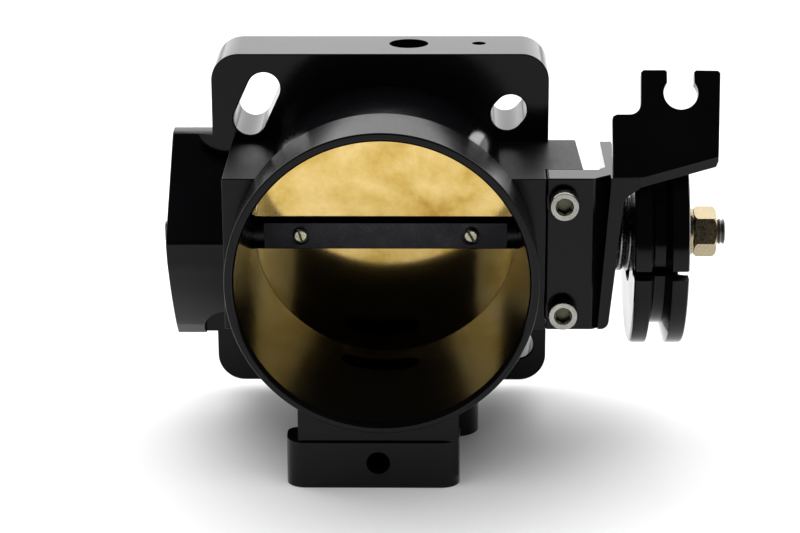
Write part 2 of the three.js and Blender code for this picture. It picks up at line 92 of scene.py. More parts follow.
def lathe(prof, axis="Y", seg=96, at=(0, 0, 0)):
    """prof: closed loop of (r, h); points on the axis close the ends."""
    place = {"Y": lambda r, h, a: (r * math.sin(a), h, r * math.cos(a)), "X": lambda r, h, a: (h, r * math.cos(a), r * math.sin(a)),
             "Z": lambda r, h, a: (r * math.cos(a), r * math.sin(a), h)}[axis]
    verts, rows = [], []
    for r, h in prof:
        if r < 1e-6:
            verts.append(place(0, h, 0))
            rows.append([len(verts) - 1])
        else:
            k = len(verts)
            verts += [place(r, h, 2 * math.pi * i / seg) for i in range(seg)]
            rows.append(list(range(k, k + seg)))
    faces = []
    for i in range(len(rows)):
        a, b = rows[i], rows[(i + 1) % len(rows)]
        if len(a) == 1 and len(b) == 1:
            continue
        if len(a) == 1:
            faces.append(b)
            continue
        if len(b) == 1:
            faces.append(a)
            continue
        faces += [[a[j], a[(j + 1) % seg], b[(j + 1) % seg], b[j]] for j in range(seg)]
    o = new_obj("t", verts, faces)
    o.data.transform(Matrix.Translation(Vector(at)))
    bm = bmesh.new()
    bm.from_mesh(o.data)
    loose = [v for v in bm.verts if not v.link_faces]
    bmesh.ops.delete(bm, geom=loose, context="VERTS")
    bmesh.ops.recalc_face_normals(bm, faces=bm.faces)
    bm.to_mesh(o.data)
    bm.free()
    return o


def cyl(r, a, b, axis, at=(0, 0, 0), seg=48, c=0.0, c2=None):
    c2 = c if c2 is None else c2
    prof = [(0, a)]
    prof += [(r - c, a), (r, a + c)] if c > 0 else [(r, a)]
    prof += [(r, b - c2), (r - c2, b)] if c2 > 0 else [(r, b)]
    prof += [(0, b)]
    return lathe(prof, axis, seg, at)


def ring(ri, ro, a, b, axis, at=(0, 0, 0), seg=64, c=0.25):
    return lathe([(ri + c, a), (ro - c, a), (ro, a + c), (ro, b - c), (ro - c, b), (ri + c, b), (ri, b - c), (ri, a + c)], axis, seg, at)


def evaluated(o):
    dg = bpy.context.evaluated_depsgraph_get()
    me = bpy.data.meshes.new_from_object(o.evaluated_get(dg))
    o.modifiers.clear()
    old = o.data
    o.data = me
    bpy.data.meshes.remove(old)
    return o


def drop(o):
    me = o.data
    bpy.data.objects.remove(o)
    bpy.data.meshes.remove(me)


def boolean(o, others, op):
    others = others if isinstance(others, (list, tuple)) else [others]
    for t in others:
        m = o.modifiers.new("b", "BOOLEAN")
        m.operation, m.solver, m.object = op, "EXACT", t
        evaluated(o)
        drop(t)
    return o


def add(o, *others):
    return boolean(o, list(others), "UNION")


def cut(o, *others):
    return boolean(o, list(others), "DIFFERENCE")


def both(o, *others):
    return boolean(o, list(others), "INTERSECT")


def spin(o, a):
    """turn about the shaft axis"""
    o.data.transform(Matrix.Translation((0, SHY, 0)) @ Matrix.Rotation(a, 4, "X") @ Matrix.Translation((0, -SHY, 0)))
    return o


def slot_pts(x0, z0, x1, z1, r, n=20):
    t = math.atan2(z1 - z0, x1 - x0)
    a = [(x1 + r * math.cos(t - math.pi / 2 + math.pi * i / n), z1 + r * math.sin(t - math.pi / 2 + math.pi * i / n)) for i in range(n + 1)]
    b = [(x0 + r * math.cos(t + math.pi / 2 + math.pi * i / n), z0 + r * math.sin(t + math.pi / 2 + math.pi * i / n)) for i in range(n + 1)]
    return a + b


def hexagon(af, turn=0.0):
    return [(af / math.sqrt(3) * math.cos(turn + i * math.pi / 3), af / math.sqrt(3) * math.sin(turn + i * math.pi / 3)) for i in range(6)]


def soft(o, w=0.32, seg=2, angle=32):
    """Round the sharp edges of a simple solid, before it is joined to others."""
    bm = bmesh.new()
    bm.from_mesh(o.data)
    es = [e for e in bm.edges if len(e.link_faces) == 2 and e.calc_face_angle(0) > math.radians(angle)]
    bmesh.ops.bevel(bm, geom=es, offset=w, offset_type="OFFSET", segments=seg, profile=0.5, affect="EDGES", clamp_overlap=False)
    bm.to_mesh(o.data)
    bm.free()
    return o


def taper(pa, pb, a, b, axis):
    """loft between two outlines with the same number of points"""
    n = len(pa)
    f = {"X": lambda p, h: (h, p[0], p[1]), "Y": lambda p, h: (p[0], h, p[1]), "Z": lambda p, h: (p[0], p[1], h)}[axis]
    verts = [f(p, a) for p in pa] + [f(p, b) for p in pb]
    return new_obj("t", verts, [list(range(n))[::-1], list(range(n, 2 * n))] + [[i, (i + 1) % n, n + (i + 1) % n, n + i] for i in range(n)])


def split_normals(me, cone):
    """Area-weighted normals that stay flat on flat faces and smooth over gentle turns."""
    fn = [p.normal.copy() for p in me.polygons]
    fw = [p.area ** 2 for p in me.polygons]
    at = [[] for _ in me.vertices]
    for p in me.polygons:
        for v in p.vertices:
            at[v].append(p.index)
    c = math.cos(math.radians(cone))
    out = [None] * len(me.loops)
    for p in me.polygons:
        n0 = fn[p.index]
        for li in p.loop_indices:
            acc = Vector((0, 0, 0))
            for q in at[me.loops[li].vertex_index]:
                if n0.dot(fn[q]) > c:
                    acc += fn[q] * (fw[q] + 1e-18)
            out[li] = tuple(acc.normalized()) if acc.length > 0 else tuple(n0)
    me.normals_split_custom_set(out)


def finish(o, name, body, node, mat, bevel=0.0, seg=2, angle=30, smooth=38, tidy=True, extra=()):
    """Tidy, smooth-shade, move into the row frame and hand over to the frame."""
    bm = bmesh.new()
    bm.from_mesh(o.data)
    if tidy:
        bmesh.ops.remove_doubles(bm, verts=bm.verts, dist=2e-3)
        bmesh.ops.dissolve_limit(bm, angle_limit=math.radians(0.3), verts=bm.verts, edges=bm.edges)
    if bevel > 0:
        es = [e for e in bm.edges if len(e.link_faces) == 2 and e.calc_face_angle(0) > math.radians(angle)]
        bmesh.ops.bevel(bm, geom=es, offset=bevel, offset_type="OFFSET", segments=seg, profile=0.5, affect="EDGES", clamp_overlap=False)
    bmesh.ops.recalc_face_normals(bm, faces=bm.faces)
    bm.to_mesh(o.data)
    bm.free()
    me = o.data
    me.shade_smooth()
    split_normals(me, smooth)
    slots = [0] * len(me.polygons)
    for k, (_, test) in enumerate(extra):
        for q in me.polygons:
            if test(q.center, q.normal):
                slots[q.index] = k + 1
    me.transform(Matrix.Scale(0.001, 4) @ Matrix.Translation(OFF))
    o.name = name
    me.name = name
    me.materials.clear()
    me.materials.append(mat)
    for mm, _ in extra:
        me.materials.append(mm)
    for q in me.polygons:
        q.material_index = slots[q.index]
    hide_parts(*([node] if isinstance(node, str) else node))
    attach(o, body)
    return o


# ------------------------------------------------------------------ materials
def nodes_of(name):
    m = bpy.data.materials.new(name)
    m.use_nodes = True
    nt = m.node_tree
    return m, nt, nt.nodes["Principled BSDF"]


def N(nt, kind, **kw):
    n = nt.nodes.new(kind)
    for k, v in kw.items():
        if hasattr(n, k):
            setattr(n, k, v)
        else:
            n.inputs[k.replace("_", " ")].default_value = v
    return n


def coords(nt, scale=(1, 1, 1)):
    tc = nt.nodes.new("ShaderNodeTexCoord")
    mp = nt.nodes.new("ShaderNodeMapping")
    mp.inputs["Scale"].default_value = scale
    nt.links.new(tc.outputs["Object"], mp.inputs["Vector"])
    return mp.outputs["Vector"]


def noise(nt, vec, scale, detail=4.0, rough=0.55, dist=0.0):
    n = nt.nodes.new("ShaderNodeTexNoise")
    n.inputs["Scale"].default_value = scale
    n.inputs["Detail"].default_value = detail
    n.inputs["Roughness"].default_value = rough
    n.inputs["Distortion"].default_value = dist
    nt.links.new(vec, n.inputs["Vector"])
    return n.outputs["Fac"]


def ramp(nt, fac, stops):
    r = nt.nodes.new("ShaderNodeValToRGB")
    e = r.color_ramp.elements
    while len(e) < len(stops):
        e.new(0.5)
    for el, (p, c) in zip(e, stops):
        el.position = p
        el.color = (*c, 1) if len(c) == 3 else c
    nt.links.new(fac, r.inputs["Fac"])
    return r.outputs["Color"]


def span(nt, fac, a, b, c, d):
    r = nt.nodes.new("ShaderNodeMapRange")
    for k, v in zip(("From Min", "From Max", "To Min", "To Max"), (a, b, c, d)):
        r.inputs[k].default_value = v
    nt.links.new(fac, r.inputs["Value"])
    return r.outputs["Result"]


def bump(nt, bsdf, height, strength, dist, normal=None):
    b = nt.nodes.new("ShaderNodeBump")
    b.inputs["Strength"].default_value = strength
    b.inputs["Distance"].default_value = dist
    nt.links.new(height, b.inputs["Height"])
    if normal is not None:
        nt.links.new(normal, b.inputs["Normal"])
    nt.links.new(b.outputs["Normal"], bsdf.inputs["Normal"])
    return b.outputs["Normal"]


def anodised(name, grain=(1, 1, 1), rough=(0.10, 0.19), tint=(0.0015, 0.0016, 0.0019), spec=0.18):
    """Black anodised, machined aluminium: near-black, glossy, with faint tool marks and handling smudges."""
    m, nt, b = nodes_of(name)
    v = coords(nt)
    vg = coords(nt, grain)
    smudge = noise(nt, v, 38.0, 5.0, 0.6)
    marks = noise(nt, vg, 900.0, 2.0, 0.5)
    mixn = nt.nodes.new("ShaderNodeMath")
    mixn.operation = "MULTIPLY_ADD"
    nt.links.new(marks, mixn.inputs[0])
    mixn.inputs[1].default_value = 0.35
    nt.links.new(smudge, mixn.inputs[2])
    nt.links.new(span(nt, mixn.outputs[0], 0.45, 0.95, *rough), b.inputs["Roughness"])
    c = ramp(nt, smudge, [(0.3, tint), (0.75, tuple(t * 1.7 for t in tint))])
    nt.links.new(c, b.inputs["Base Color"])
    b.inputs["IOR"].default_value = 1.5
    b.inputs["Specular IOR Level"].default_value = spec
    bump(nt, b, marks, 0.05, 0.00006)
    return m


def steel(name, base, rough=(0.18, 0.34), tint2=None, grain=(1, 1, 1), fine=1400.0, bumpy=0.1):
    m, nt, b = nodes_of(name)
    v = coords(nt)
    big = noise(nt, v, 160.0, 4.0, 0.6, 0.4)
    fin = noise(nt, coords(nt, grain), fine, 3.0, 0.5)
    tint2 = tint2 or tuple(x * 0.72 for x in base)
    nt.links.new(ramp(nt, big, [(0.32, tint2), (0.66, base)]), b.inputs["Base Color"])
    nt.links.new(span(nt, fin, 0.3, 0.7, *rough), b.inputs["Roughness"])
    b.inputs["Metallic"].default_value = 1.0
    bump(nt, b, fin, bumpy, 0.00008)
    return m


BLACK = anodised("black_anodised")
BLACK_T = anodised("black_anodised_turned", grain=(0.12, 1, 1))
BLACK_M = anodised("black_anodised_milled", grain=(1, 0.15, 1), rough=(0.38, 0.5))
BLACK_C = anodised("black_anodised_collar", grain=(1, 0.15, 1), rough=(0.14, 0.26), spec=0.08)
STEEL_END = steel("zinc_thread", (0.30, 0.30, 0.27), (0.3, 0.45))
STAINLESS = steel("stainless", (0.40, 0.39, 0.35), (0.20, 0.34))
ZINC = steel("yellow_zinc", (0.44, 0.34, 0.20), (0.2, 0.36), tint2=(0.37, 0.33, 0.22), bumpy=0.08)
SHAFT_M = steel("blackened_steel", (0.035, 0.035, 0.038), (0.25, 0.42))
SPRING_M = steel("spring_wire", (0.42, 0.41, 0.40), (0.18, 0.34))
RING_M = steel("ground_steel", (0.62, 0.63, 0.65), (0.12, 0.25))
# painted shade: a near-black steel colour laid into the hex sockets of the cap screws and the slot floors of the plate
# screws, standing in for the shade inside these recesses
SOCKET_SHADE_M = steel("socket_painted_shade", (0.10, 0.10, 0.07), (0.3, 0.45))
SLOT_M = steel("plate_screw_steel", (0.70, 0.66, 0.48), (0.2, 0.35))


def brass():
    m, nt, b = nodes_of("rolled_brass")
    v = coords(nt)
    a = noise(nt, v, 26.0, 6.0, 0.62, 0.6)
    c = noise(nt, v, 75.0, 5.0, 0.65, 0.3)
    mx = nt.nodes.new("ShaderNodeMix")
    mx.data_type = "FLOAT"
    mx.inputs[0].default_value = 0.4
    nt.links.new(a, mx.inputs[2])
    nt.links.new(c, mx.inputs[3])
    f = mx.outputs[0]
    nt.links.new(ramp(nt, f, [(0.34, (0.38, 0.20, 0.035)), (0.46, (0.60, 0.41, 0.11)), (0.58, (0.76, 0.56, 0.22)), (0.70, (0.52, 0.33, 0.08))]), b.inputs["Base Color"])
    nt.links.new(span(nt, f, 0.3, 0.7, 0.11, 0.05), b.inputs["Roughness"])
    b.inputs["Metallic"].default_value = 1.0
    fin = noise(nt, coords(nt, (1, 1, 0.06)), 1500.0, 2.0, 0.5)
    bump(nt, b, fin, 0.04, 0.00005)
    return m


BRASS = brass()


def plain(name, col, rough, amp=0.08, scale=300.0):
    m, nt, b = nodes_of(name)
    f = noise(nt, coords(nt), scale, 3.0)
    nt.links.new(ramp(nt, f, [(0.3, tuple(c * 0.8 for c in col)), (0.7, col)]), b.inputs["Base Color"])
    nt.links.new(span(nt, f, 0.3, 0.7, rough - amp, rough + amp), b.inputs["Roughness"])
    bump(nt, b, f, 0.1, 0.0001)
    return m


RUBBER = plain("seal_rubber", (0.02, 0.02, 0.021), 0.6)
NYLON = plain("black_nylon", (0.025, 0.025, 0.027), 0.45)

for n, mt in {
    "throttle_housing": BLACK, "cable_bracket": BLACK, "throttle_pulley": BLACK_T, "throttle_shaft": SHAFT_M, "throttle_plate": BRASS,
    "plate_screw_left": SLOT_M, "plate_screw_right": SLOT_M, "bracket_screw_upper": STAINLESS, "bracket_screw_lower": STAINLESS,
    "shaft_nut": ZINC, "pulley_washer": ZINC, "idle_stop_locknut": ZINC, "idle_stop_screw": SHAFT_M, "return_spring": SPRING_M,
    "spring_spool": NYLON, "thrust_washer": RING_M, "shaft_bearing_left": RING_M, "shaft_bearing_right": RING_M,
    "shaft_seal_left": RUBBER, "shaft_seal_right": RUBBER, "bearing_retaining_ring": SHAFT_M}.items():
    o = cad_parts[n]
    o.data.materials.clear()
    o.data.materials.append(mt)


# ------------------------------------------------------------------ dimensions
LIP_R, LIP_IN, BORE_R, NECK_R = 44.45, 42.1, 39.2, 41.9
COLLAR_Y, FL0, FL1, FLZ = 22.5, 63.0, 87.0, 51.7
FLX0, FLX1, FLR = -52.2, 48.8, 8.2
CORE_Y, CZT, CZB = 22.6, 24.8, -20.8
FOOT = -61.45
SENS = -64.2
SHR = 5.3
R33, PX0, PX1, GX0, GX1 = 33.2, 72.4, 88.2, 77.4, 83.2
SEAT = 76.1
HX = (-25.4, 25.6)
EAR_A, EAR_T, BEND_Z = math.radians(30), 4.0, 27.0
SCX, SCZ = 51.9, (17.8, -15.1)
STOP_X, STOP_Y = 69.3, SHY + 22.2


def arc(cx, cy, r, a0, a1, n):
    return [(cx + r * math.cos(math.radians(a0 + (a1 - a0) * i / n)), cy + r * math.sin(math.radians(a0 + (a1 - a0) * i / n))) for i in range(n + 1)]


# --------------------------------------------------------------------- housing
def make_housing():
    # collar with a rolled outer edge, plain neck behind it
    prof = [(0, 0), (LIP_IN - 3, 0)] + [(LIP_R - 0.5 + 0.5 * math.sin(math.radians(a)), 0.5 - 0.5 * math.cos(math.radians(a))) for a in range(0, 91, 15)]
    prof += [(LIP_R, COLLAR_Y - 1.2), (LIP_R - 0.35, COLLAR_Y - 0.35), (LIP_R - 1.2, COLLAR_Y), (NECK_R + 0.4, COLLAR_Y + 0.6), (NECK_R, COLLAR_Y + 2), (NECK_R, FL0 + 2), (0, FL0 + 2)]
    h = lathe(prof, "Y", 224)
    fl = soft(prism(rounded([(FLX0, -FLZ, FLR), (FLX1, -FLZ, FLR), (FLX1, FLZ, FLR), (FLX0, FLZ, FLR)], 14), FL0, FL1, "Y"), 0.35, 3)
    core = soft(prism([(-46.3, CORE_Y), (46.8, CORE_Y), (46.8, 32.6), (57.9, 32.6), (57.0, FL0 + 2), (-46.3, FL0 + 2)], CZB, CZT, "Z"), 0.32, 3)
    low = [(34.0, 1.6, 2.5), (36.4, -5.0, 6), (39.6, -10.4, 8), (44.6, -17.6, 10), (50.6, -25.0, 10), (56.6, -31.6, 8), (61.4, -35.7, 1.0)]
    curve = []
    for i in range(1, len(low) - 2):
        a0, a1, a2, a3 = (Vector(low[j][:2]) for j in (i - 1, i, i + 1, i + 2))
        for k in range(6):
            u = k / 6
            q = 0.5 * ((2 * a1) + (a2 - a0) * u + (2 * a0 - 5 * a1 + 4 * a2 - a3) * u * u + (3 * a1 - a0 - 3 * a2 + a3) * u ** 3)
            curve.append((q.x, q.y))
    low = [low[0]] + curve + [low[-2][:2], low[-1]]
    boss_l = soft(prism(rounded(low + [(69.4, -35.7, 1), (69.4, 27.6, 0.5), (64.75, 27.6, 0), (63.0, 26.85, 0)], 8), SENS, -45.5, "X"), 0.32, 3, 40)
    # spanner clearance for the flange bolts runs through the boss only
    cut(boss_l, cyl(8.2, 10, FL0, "Y", (-48.1, 0, 27.8), 72), cyl(8.2, 10, FL0, "Y", (-47.6, 0, -33.4), 72))
    web = box(-24.3, 21.8, 1.6, 60.5, -58, -34)
    foot = [(22.2, 0.5, 5.5), (22.2, 13, 0), (21.8, 13.6, 0), (21.8, 60.4, 3), (-24.3, 60.4, 3), (-24.3, 13, 0), (-27.8, 13, 3), (-27.8, 0.5, 5.5)]
    pad = soft(prism(rounded(foot, 8), FOOT - 2, -47.5, "Z"), 0.3, 2, 50)
    ear = soft(prism(rounded([(10, 40.2), (28, 40.2, 7.4), (28, 57, 7.4), (10, 57)], 10), FOOT - 2.5, -36, "Z"), 0.3, 2, 50)
    add(h, fl, core, boss_l, web, pad, ear)
    cut(h, box(-60, 60, -10, 100, FOOT - 6, FOOT))
    mouth = [(LIP_IN + 1.9, -2)] + [(LIP_IN + 1.2 - 1.6 * math.sin(math.radians(a)), 1.6 - 1.6 * math.cos(math.radians(a))) for a in (0, 15, 30, 45, 60, 75, 85)]
    cut(h, lathe([(0, -2)] + mouth + [(BORE_R, 43), (BORE_R, FL1 + 2), (0, FL1 + 2)], "Y", 224))
    cuts = []
    for q in ((-40.8, 31.7, -36.5, 41.1, 4.95), (36.3, 33.1, 37.4, 34.4, 4.85), (39.6, -39.6, 40.4, -39.9, 4.6), (-39.5, -40.5, -39.49, -40.49, 4.7)):
        cuts.append(prism(slot_pts(*q), FL0 - 3, FL1 + 1, "Y"))
        cuts.append(taper(slot_pts(*q[:4], q[4] + 0.9), slot_pts(*q[:4], q[4] - 0.05), FL0 - 0.5, FL0 + 0.45, "Y"))
    cuts += [cyl(5.9, FLZ - 9, FLZ + 1, "Z", (6.8, 76.7, 0), 64), cyl(3.0, BORE_R - 4, FLZ - 8.9, "Z", (6.8, 76.7, 0), 32),
             cyl(2.1, FLZ - 10, FLZ + 1, "Z", (28, 77, 0), 36),
             cyl(SHR + 0.35, -70, 70, "X", (0, SHY, 0), 64), cyl(9.8, -70, -47.2, "X", (0, SHY, 0), 72), cyl(9.8, 44.2, 70, "X", (0, SHY, 0), 72),
             cyl(10.6, -60.7, -59.3, "X", (0, SHY, 0), 72),
             cyl(1.65, -70, -54, "X", (0, SHY + 7, 15.5), 24), cyl(1.65, -70, -54, "X", (0, SHY + 7, -15.5), 24),
             cyl(2.8, 20, 49, "Y", (SCX, 0, SCZ[0]), 32), cyl(2.8, 20, 49, "Y", (SCX, 0, SCZ[1]), 32),
             cyl(3.4, -1, 20, "Y", (-1.3, 0, -53.8), 48),
             prism(rounded([(-13.2, 38.6, 3.6), (10.0, 38.6, 3.6), (10.0, 47.2, 3.6), (-13.2, 47.2, 3.6)], 8), FOOT - 1, -30, "Z"),
             cyl(4.2, FOOT - 1, -45.6, "Z", (-1.5, 55.0, 0), 40), cyl(3.6, 55.0, FL1 + 1, "Y", (-1.5, 0, -46.0), 36),
             cyl(2.5, FOOT - 1, FOOT + 11, "Z", (-19.5, 7, 0), 28), cyl(2.5, FOOT - 1, FOOT + 11, "Z", (15.5, 7, 0), 28),
             cyl(2.5, FOOT - 1, FOOT + 13, "Z", (20.3, 48.5, 0), 28)]
    cut(h, *cuts)
    top = lambda c, n: n.z > 0.9 and abs(c.z - CZT) < 0.6 and c.y < FL0
    collar = lambda c, n: c.y < COLLAR_Y and abs(math.hypot(c.x, c.z) - LIP_R) < 0.5 and abs(n.y) < 0.3
    return finish(h, "housing_casting", "housing", "throttle_housing", BLACK, extra=((BLACK_M, top), (BLACK_C, collar)))


# --------------------------------------------------------------------- bracket
def make_bracket():
    y0 = CORE_Y
    b = prism(rounded([(47.1, -20.8, 0.5), (65.2, -20.8, 2.4), (69.3, 19, 3.5), (73.5, 21.6), (73.5, 24.9), (47.1, 24.9, 0.5)], 8), y0, 32.3, "Y")
    soft(b, 0.35, 3, 34)
    cut(b, box(69.3, 80, y0 + EAR_T, 33.3, -30, 40))
    groove = both(prism([(60.2, y0 - 1), (60.2, y0), (65.4, y0 + 4.4), (65.4, y0 - 1)], -30, 25.4, "Z"),
                  prism([(50, -30), (61.5, -30), (65.3, 23), (65.3, 26), (50, 26)], y0 - 2, y0 + 5, "Y"))
    cut(b, groove)
    strip = prism([(65.7, 18), (69.2, 19.2), (70.4, 20.4), (73.5, 21.7), (79.1, 23.4), (87.6, 25.8), (95.2, 28.0), (95.7, 31.4), (80.5, BEND_Z), (65.7, BEND_Z)], y0, y0 + EAR_T, "Y")
    # underside of the ear, sloping back below the bend
    dr = Vector((15.2, 0, 31.4 - BEND_Z)).normalized()
    dn = Vector((dr.z, 0, -dr.x))
    t = math.radians(24)
    nrm = Vector((0, -1, 0)) * math.cos(t) + dn * math.sin(t)
    tt = dr.cross(nrm)
    p1 = Vector((80.5, y0, BEND_Z))
    vs = [p1 + dr * a + tt * c + nrm * d for a in (-10.2, 22) for c in (-8, 8) for d in (0, 6)]
    wedge = new_obj("t", vs, [(0, 1, 3, 2), (4, 6, 7, 5), (0, 4, 5, 1), (2, 3, 7, 6), (0, 2, 6, 4), (1, 5, 7, 3)])
    cut(strip, wedge)
    kx, kv, kr, kn = 85.45, 23.3, 4.95, 3.9
    ka = math.degrees(math.asin(kn / kr))
    ear = [(65.7, 0), (80.5, 0), (95.8, 2.8), (96.0, 6), (96.9, 29.2), (96.2, 29.9), (kx + kn + 0.5, 30.0), (kx + kn, 29.5)]
    ear += [(kx + kr * math.sin(math.radians(a)), kv + kr * math.cos(math.radians(a))) for a in [ka + (360 - 2 * ka) * i / 48 for i in range(49)]]
    ear += [(kx - kn, 29.6), (kx - kn - 0.5, 30.1), (74.8, 30.1), (74.1, 29.4), (73.9, 20.1)]
    ear += [(70.7 + 3.2 * math.cos(math.radians(a)), 20.1 - 3.2 * math.sin(math.radians(a))) for a in range(10, 91, 10)]
    ear += [(67.0, 16.9), (66.0, 16.4), (65.7, 15.6)]
    e = prism(ear, 0, EAR_T, "Y")
    e.data.transform(Matrix.Translation((0, y0, BEND_Z)) @ Matrix.Rotation(-EAR_A, 4, "X"))
    add(b, strip, e)
    leg = both(prism([(62.4, 31), (69.3, 31), (69.3, 33.6), (67.6, 35.4), (67.6, FL0), (64.2, FL0), (64.2, 35), (62.4, 33)], -26, 31, "Z"),
               prism([(60, -20.6), (65.2, -20.6), (69.4, 19), (69.4, 24.8), (60, 24.8)], 28, 66, "Y"))
    arm = soft(box(64.2, 67.4, 61, 78.2, -12.6, -1), 0.25)
    lug = soft(box(64.2, 72.0, 67.6, 78.2, -12.55, -6.6), 0.25)
    add(b, leg, arm, lug)
    cut(b, cyl(12.6, 60, 75, "X", (0, SHY, 0), 72), cyl(1.8, -14, -5, "Z", (STOP_X, STOP_Y, 0), 28))
    for z in SCZ:
        cut(b, cyl(2.8, 20, 34, "Y", (SCX, 0, z), 32), cyl(5.1, 20, y0 + 0.45, "Y", (SCX, 0, z), 48))
    return finish(b, "cable_bracket_plate", "housing", "cable_bracket", BLACK, smooth=34)


# ---------------------------------------------------------------------- pulley
def make_pulley():
    hx0, hx1 = SEAT + 0.3, 89.9
    prof = [(4.2, hx0), (14.2, hx0), (14.5, hx0 - 0.3), (14.5, PX0 + 0.4), (14.9, PX0), (R33 - 1.2, PX0), (R33 - 0.35, PX0 + 0.35), (R33, PX0 + 1.2), (R33, GX0 - 0.5), (R33 - 0.15, GX0 - 0.15), (R33 - 0.5, GX0),
            (27.9, 78.35), (27.35, 78.6), (27.2, 79.0), (27.2, 81.3), (27.35, 81.7), (27.9, 81.95),
            (R33 - 0.5, GX1), (R33 - 0.15, GX1 + 0.15), (R33, GX1 + 0.5), (R33, PX1 - 1.0), (R33 - 0.3, PX1 - 0.3), (R33 - 1.0, PX1), (25, PX1),
            (24.5, PX1 - 2.5), (8.6, PX1 - 2.5), (8.2, hx1 - 0.4), (7.8, hx1), (4.2, hx1)]
    p = lathe(prof, "X", 160, (0, SHY, 0))
    for za, zb in ((3.3, 6), (-6, -3.3)):
        add(p, both(box(hx0 + 0.02, hx1 - 1, SHY - 4, SHY + 4, za, zb), cyl(6, hx0 + 0.01, hx1 - 0.9, "X", (0, SHY, 0), 48)))
    cut(p, box(PX0 - 1, PX1 + 1, 10, 27, -4.8, -1.9), cyl(2.6, PX0 - 1.2, PX1 + 1.2, "X", (0, 27, -3.35), 40))
    add(p, box(68.1, PX0 + 1, SHY + 18.5, SHY + 26, -2.4, 2.6))
    cut(p, cyl(1.5, hx0 - 1, hx0 + 3.3, "X", (0, SHY - 9.5, -7.5), 24))
    return finish(p, "cable_pulley_wheel", "shaft_group", "throttle_pulley", BLACK_T, smooth=30)


# ------------------------------------------------------------------------ shaft
def make_shaft():
    s = lathe([(0, -66), (2.7, -66), (3.3, -65.4), (3.3, -61.6), (SHR - 0.4, -61.6), (SHR, -61.2), (SHR, SEAT), (3.9, SEAT), (3.9, 89.6)] +
              sum([[(3.9, 89.7 + 1.25 * i + 0.02), (3.35, 89.7 + 1.25 * i + 0.62), (3.9, 89.7 + 1.25 * i + 1.22)] for i in range(9)], []) + [(3.1, 101.3), (0, 101.3)], "X", 72, (0, SHY, 0))
    hh = 1.3
    cut(s, spin(box(-36.2, 36.2, SHY - 8, SHY - 3.45, -8, 8), TILT), spin(box(-38.9, 38.9, SHY - hh, SHY + hh, -8, 8), TILT))
    for x in HX:
        cut(s, spin(cyl(1.8, SHY - 6, SHY + 6, "Y", (x, 0, 0), 28), TILT), spin(cyl(3.0, SHY - 6, SHY - 2.75, "Y", (x, 0, 0), 40), TILT))
    cut(s, box(-67, -61.6, SHY + 1.6, SHY + 5, -5, 5), box(-67, -61.6, SHY - 5, SHY - 1.6, -5, 5),
        box(SEAT, 89.6, SHY - 6, SHY + 6, 3.0, 6), box(SEAT, 89.6, SHY - 6, SHY + 6, -6, -3.0))
    return finish(s, "cross_shaft", "shaft_group", "throttle_shaft", SHAFT_M, extra=((STEEL_END, lambda c, n: c.x > 89.6),))


def make_plate():
    p = both(cyl(BORE_R - 0.08, SHY - 12, SHY + 12, "Y", (0, 0, 0), 224), spin(box(-50, 50, SHY - 1, SHY + 1, -50, 50), TILT))
    for x in HX:
        cut(p, spin(cyl(1.8, SHY - 6, SHY + 6, "Y", (x, 0, 0), 28), TILT))
    return finish(p, "butterfly_plate", "shaft_group", "throttle_plate", BRASS)


def make_plate_screw(i):
    s = lathe([(0, SHY - 4.25), (1.5, SHY - 4.25), (1.95, SHY - 4.12), (2.25, SHY - 3.8), (2.25, SHY - 3.05), (1.5, SHY - 3.05), (1.5, SHY + 4.3), (1.2, SHY + 4.6), (0, SHY + 4.6)], "Y", 48)
    k = box(-3, 3, SHY - 5, SHY - 3.65, -0.38, 0.38)
    k.data.transform(Matrix.Rotation(math.radians(62 if i else 75), 4, "Y"))
    cut(s, k)
    s.data.transform(Matrix.Translation((HX[i], 0, 0)))
    spin(s, TILT)
    # the slot floor gets the painted-shade material (dark colour standing in for shade in the slot)
    return finish(s, ("plate_screw_a", "plate_screw_b")[i], "shaft_group", ("plate_screw_left", "plate_screw_right")[i], SLOT_M,
                  extra=((SOCKET_SHADE_M, lambda c, n: SHY - 3.95 < c.y < SHY - 3.2 and abs(n.y) > 0.9),))


def make_cap_screw(i):
    h0 = CORE_Y + 0.15
    z = SCZ[i]
    head = [(0, h0 - 5), (3.75, h0 - 5), (4.05, h0 - 4.9), (4.2, h0 - 4.65), (4.25, h0 - 4.3), (4.25, h0 - 0.25), (4.05, h0), (2.5, h0), (2.5, 46), (2.1, 46.5), (0, 46.5)]
    s = lathe(head, "Y", 80)
    sock = prism(hexagon(4.1, math.pi / 6), h0 - 6, h0 - 2.2, "Y")
    cone = lathe([(0, h0 - 5.2), (2.75, h0 - 5.2), (2.3, h0 - 4.55), (0, h0 - 4.55)], "Y", 48)
    drill = lathe([(0, h0 - 3), (2.0, h0 - 3), (2.0, h0 - 2.2), (0, h0 - 1.9)], "Y", 40)
    cut(s, sock, cone, drill)
    s.data.transform(Matrix.Translation((SCX, 0, z)))
    # the socket interior gets the painted-shade material (dark colour standing in for shade in the socket)
    return finish(s, ("cap_screw_a", "cap_screw_b")[i], "housing", ("bracket_screw_upper", "bracket_screw_lower")[i], STAINLESS,
                  extra=((SOCKET_SHADE_M, lambda c, n: math.hypot(c.x - SCX, c.z - z) < 2.42 and h0 - 4.9 < c.y < 30),))


